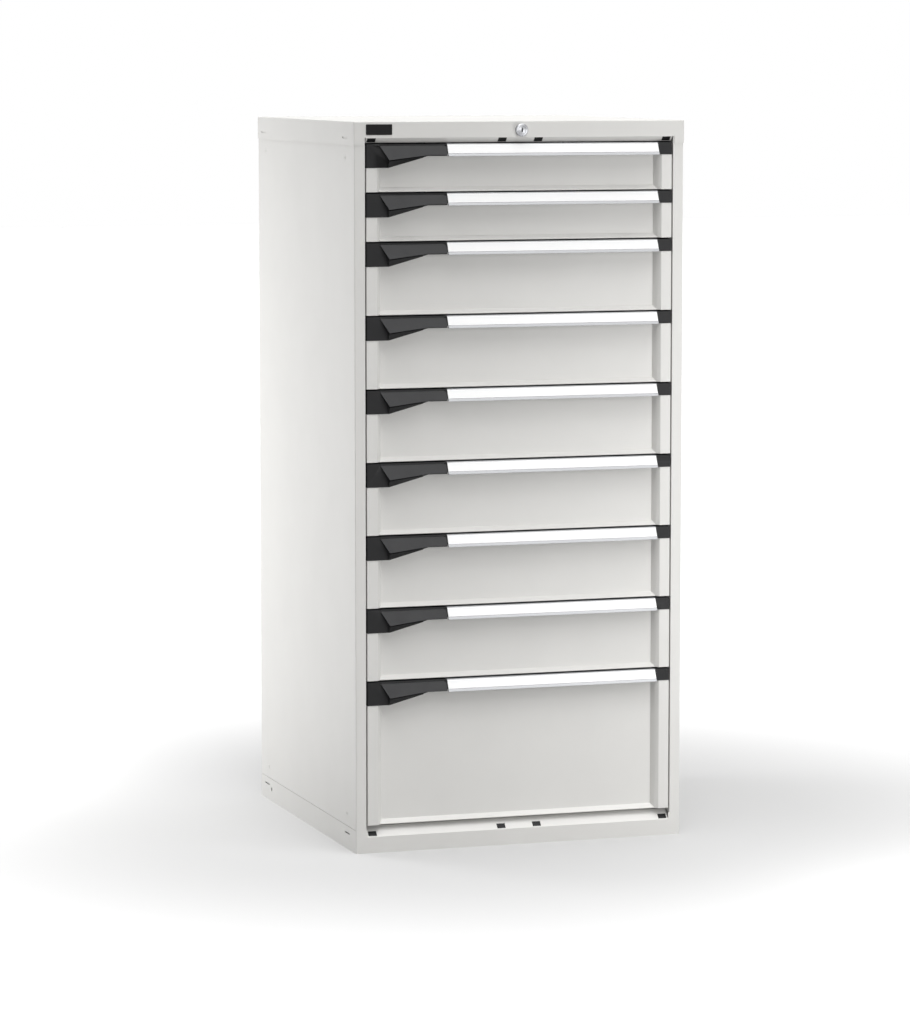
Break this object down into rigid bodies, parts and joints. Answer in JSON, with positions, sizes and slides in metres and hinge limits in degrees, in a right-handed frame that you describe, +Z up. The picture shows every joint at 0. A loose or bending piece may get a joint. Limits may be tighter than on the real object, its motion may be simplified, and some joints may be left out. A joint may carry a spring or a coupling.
{
  "type": "drawer cabinet for laboratory slides and supplies",
  "caption": "Tall painted steel storage cabinet with full-width drawers on roller runners, aluminium label-bar handles, thumb releases and a central key lock.",
  "frame": {"origin": "on the floor, below the middle of the whole cabinet's width and depth", "axes": "+Z up, the drawers open towards -Y, +X to the right as seen from the front"},
  "size_m": [0.7148, 0.742, 1.5],
  "materials": {
    "casing_paint": "fine-textured light grey powder coat",
    "drawer_paint": "fine-textured light grey powder coat",
    "runner_zinc": "zinc plated",
    "bar_aluminium": "satin anodised, with a white paper label strip",
    "black_plastic": "fine grained",
    "pad_plastic": "fine grained",
    "badge_enamel": "smooth and bare",
    "lock_chrome": "polished"
  },
  "bodies": {
    "casing": {"side_panel_left": "casing_paint", "side_panel_right": "casing_paint", "back_panel": "casing_paint", "top_cover": "casing_paint", "base_frame": "casing_paint", "uprights": "runner_zinc", "side_screws": "casing_paint", "socket_plugs": "black_plastic", "badge_plate": "badge_enamel", "cabinet_rails": "runner_zinc", "lock_housing": "lock_chrome", "lock_guides": "black_plastic"},
    "lock_cylinder": {"lock_plug": "lock_chrome", "lock_shaft": "runner_zinc"},
    "lock_bar": {"lock_bar": "runner_zinc"},
    "drawer_9": {"drawer_9_box": "drawer_paint", "drawer_9_handle_bar": "bar_aluminium", "drawer_9_end_caps": "black_plastic"},
    "drawer_9_pad": {"drawer_9_release_pad": "pad_plastic"},
    "drawer_9_carriage": {"drawer_9_carriages": "runner_zinc"},
    "drawer_8": {"drawer_8_box": "drawer_paint", "drawer_8_handle_bar": "bar_aluminium", "drawer_8_end_caps": "black_plastic"},
    "drawer_8_pad": {"drawer_8_release_pad": "pad_plastic"},
    "drawer_8_carriage": {"drawer_8_carriages": "runner_zinc"},
    "drawer_7": {"drawer_7_box": "drawer_paint", "drawer_7_handle_bar": "bar_aluminium", "drawer_7_end_caps": "black_plastic"},
    "drawer_7_pad": {"drawer_7_release_pad": "pad_plastic"},
    "drawer_7_carriage": {"drawer_7_carriages": "runner_zinc"},
    "drawer_6": {"drawer_6_box": "drawer_paint", "drawer_6_handle_bar": "bar_aluminium", "drawer_6_end_caps": "black_plastic"},
    "drawer_6_pad": {"drawer_6_release_pad": "pad_plastic"},
    "drawer_6_carriage": {"drawer_6_carriages": "runner_zinc"},
    "drawer_5": {"drawer_5_box": "drawer_paint", "drawer_5_handle_bar": "bar_aluminium", "drawer_5_end_caps": "black_plastic"},
    "drawer_5_pad": {"drawer_5_release_pad": "pad_plastic"},
    "drawer_5_carriage": {"drawer_5_carriages": "runner_zinc"},
    "drawer_4": {"drawer_4_box": "drawer_paint", "drawer_4_handle_bar": "bar_aluminium", "drawer_4_end_caps": "black_plastic"},
    "drawer_4_pad": {"drawer_4_release_pad": "pad_plastic"},
    "drawer_4_carriage": {"drawer_4_carriages": "runner_zinc"},
    "drawer_3": {"drawer_3_box": "drawer_paint", "drawer_3_handle_bar": "bar_aluminium", "drawer_3_end_caps": "black_plastic"},
    "drawer_3_pad": {"drawer_3_release_pad": "pad_plastic"},
    "drawer_3_carriage": {"drawer_3_carriages": "runner_zinc"},
    "drawer_2": {"drawer_2_box": "drawer_paint", "drawer_2_handle_bar": "bar_aluminium", "drawer_2_end_caps": "black_plastic"},
    "drawer_2_pad": {"drawer_2_release_pad": "pad_plastic"},
    "drawer_2_carriage": {"drawer_2_carriages": "runner_zinc"},
    "drawer_1": {"drawer_1_box": "drawer_paint", "drawer_1_handle_bar": "bar_aluminium", "drawer_1_end_caps": "black_plastic"},
    "drawer_1_pad": {"drawer_1_release_pad": "pad_plastic"},
    "drawer_1_carriage": {"drawer_1_carriages": "runner_zinc"}
  },
  "joints": [
    {"name": "lock_turn", "type": "hinge", "parent": "casing", "child": "lock_cylinder", "pos_m": [0, -0.3554, 1.4815], "axis": [0, 1, 0], "range_deg": [0, 90]},
    {"name": "lock_bar_lift", "type": "slide", "parent": "casing", "child": "lock_bar", "axis": [0, 0, 1], "range_m": [0, 0.01414]},
    {"name": "drawer_9_slide", "type": "slide", "parent": "casing", "child": "drawer_9", "axis": [0, -1, 0], "range_m": [0, 0.6]},
    {"name": "drawer_9_carriage_roll", "type": "slide", "parent": "casing", "child": "drawer_9_carriage", "axis": [0, -1, 0], "range_m": [0, 0.3]},
    {"name": "drawer_9_pad_press", "type": "hinge", "parent": "drawer_9", "child": "drawer_9_pad", "pos_m": [-0.23, -0.3514, 0.3475], "axis": [1, 0, 0], "range_deg": [0, 6], "stiffness_Nm_per_rad": 0.3, "springref_deg": -5.73},
    {"name": "drawer_8_slide", "type": "slide", "parent": "casing", "child": "drawer_8", "axis": [0, -1, 0], "range_m": [0, 0.6]},
    {"name": "drawer_8_carriage_roll", "type": "slide", "parent": "casing", "child": "drawer_8_carriage", "axis": [0, -1, 0], "range_m": [0, 0.3]},
    {"name": "drawer_8_pad_press", "type": "hinge", "parent": "drawer_8", "child": "drawer_8_pad", "pos_m": [-0.23, -0.3514, 0.4975], "axis": [1, 0, 0], "range_deg": [0, 6], "stiffness_Nm_per_rad": 0.3, "springref_deg": -5.73},
    {"name": "drawer_7_slide", "type": "slide", "parent": "casing", "child": "drawer_7", "axis": [0, -1, 0], "range_m": [0, 0.6]},
    {"name": "drawer_7_carriage_roll", "type": "slide", "parent": "casing", "child": "drawer_7_carriage", "axis": [0, -1, 0], "range_m": [0, 0.3]},
    {"name": "drawer_7_pad_press", "type": "hinge", "parent": "drawer_7", "child": "drawer_7_pad", "pos_m": [-0.23, -0.3514, 0.6475], "axis": [1, 0, 0], "range_deg": [0, 6], "stiffness_Nm_per_rad": 0.3, "springref_deg": -5.73},
    {"name": "drawer_6_slide", "type": "slide", "parent": "casing", "child": "drawer_6", "axis": [0, -1, 0], "range_m": [0, 0.6]},
    {"name": "drawer_6_carriage_roll", "type": "slide", "parent": "casing", "child": "drawer_6_carriage", "axis": [0, -1, 0], "range_m": [0, 0.3]},
    {"name": "drawer_6_pad_press", "type": "hinge", "parent": "drawer_6", "child": "drawer_6_pad", "pos_m": [-0.23, -0.3514, 0.7975], "axis": [1, 0, 0], "range_deg": [0, 6], "stiffness_Nm_per_rad": 0.3, "springref_deg": -5.73},
    {"name": "drawer_5_slide", "type": "slide", "parent": "casing", "child": "drawer_5", "axis": [0, -1, 0], "range_m": [0, 0.6]},
    {"name": "drawer_5_carriage_roll", "type": "slide", "parent": "casing", "child": "drawer_5_carriage", "axis": [0, -1, 0], "range_m": [0, 0.3]},
    {"name": "drawer_5_pad_press", "type": "hinge", "parent": "drawer_5", "child": "drawer_5_pad", "pos_m": [-0.23, -0.3514, 0.9475], "axis": [1, 0, 0], "range_deg": [0, 6], "stiffness_Nm_per_rad": 0.3, "springref_deg": -5.73},
    {"name": "drawer_4_slide", "type": "slide", "parent": "casing", "child": "drawer_4", "axis": [0, -1, 0], "range_m": [0, 0.6]},
    {"name": "drawer_4_carriage_roll", "type": "slide", "parent": "casing", "child": "drawer_4_carriage", "axis": [0, -1, 0], "range_m": [0, 0.3]},
    {"name": "drawer_4_pad_press", "type": "hinge", "parent": "drawer_4", "child": "drawer_4_pad", "pos_m": [-0.23, -0.3514, 1.0975], "axis": [1, 0, 0], "range_deg": [0, 6], "stiffness_Nm_per_rad": 0.3, "springref_deg": -5.73},
    {"name": "drawer_3_slide", "type": "slide", "parent": "casing", "child": "drawer_3", "axis": [0, -1, 0], "range_m": [0, 0.6]},
    {"name": "drawer_3_carriage_roll", "type": "slide", "parent": "casing", "child": "drawer_3_carriage", "axis": [0, -1, 0], "range_m": [0, 0.3]},
    {"name": "drawer_3_pad_press", "type": "hinge", "parent": "drawer_3", "child": "drawer_3_pad", "pos_m": [-0.23, -0.3514, 1.2475], "axis": [1, 0, 0], "range_deg": [0, 6], "stiffness_Nm_per_rad": 0.3, "springref_deg": -5.73},
    {"name": "drawer_2_slide", "type": "slide", "parent": "casing", "child": "drawer_2", "axis": [0, -1, 0], "range_m": [0, 0.6]},
    {"name": "drawer_2_carriage_roll", "type": "slide", "parent": "casing", "child": "drawer_2_carriage", "axis": [0, -1, 0], "range_m": [0, 0.3]},
    {"name": "drawer_2_pad_press", "type": "hinge", "parent": "drawer_2", "child": "drawer_2_pad", "pos_m": [-0.23, -0.3514, 1.3475], "axis": [1, 0, 0], "range_deg": [0, 6], "stiffness_Nm_per_rad": 0.3, "springref_deg": -5.73},
    {"name": "drawer_1_slide", "type": "slide", "parent": "casing", "child": "drawer_1", "axis": [0, -1, 0], "range_m": [0, 0.6]},
    {"name": "drawer_1_carriage_roll", "type": "slide", "parent": "casing", "child": "drawer_1_carriage", "axis": [0, -1, 0], "range_m": [0, 0.3]},
    {"name": "drawer_1_pad_press", "type": "hinge", "parent": "drawer_1", "child": "drawer_1_pad", "pos_m": [-0.23, -0.3514, 1.4475], "axis": [1, 0, 0], "range_deg": [0, 6], "stiffness_Nm_per_rad": 0.3, "springref_deg": -5.73}
  ],
  "couplings": [
    {"joint": "lock_turn", "follows": "lock_bar_lift", "rad_per_m": 111.09},
    {"joint": "drawer_9_carriage_roll", "follows": "drawer_9_slide", "ratio": 0.5},
    {"joint": "drawer_8_carriage_roll", "follows": "drawer_8_slide", "ratio": 0.5},
    {"joint": "drawer_7_carriage_roll", "follows": "drawer_7_slide", "ratio": 0.5},
    {"joint": "drawer_6_carriage_roll", "follows": "drawer_6_slide", "ratio": 0.5},
    {"joint": "drawer_5_carriage_roll", "follows": "drawer_5_slide", "ratio": 0.5},
    {"joint": "drawer_4_carriage_roll", "follows": "drawer_4_slide", "ratio": 0.5},
    {"joint": "drawer_3_carriage_roll", "follows": "drawer_3_slide", "ratio": 0.5},
    {"joint": "drawer_2_carriage_roll", "follows": "drawer_2_slide", "ratio": 0.5},
    {"joint": "drawer_1_carriage_roll", "follows": "drawer_1_slide", "ratio": 0.5}
  ]
}
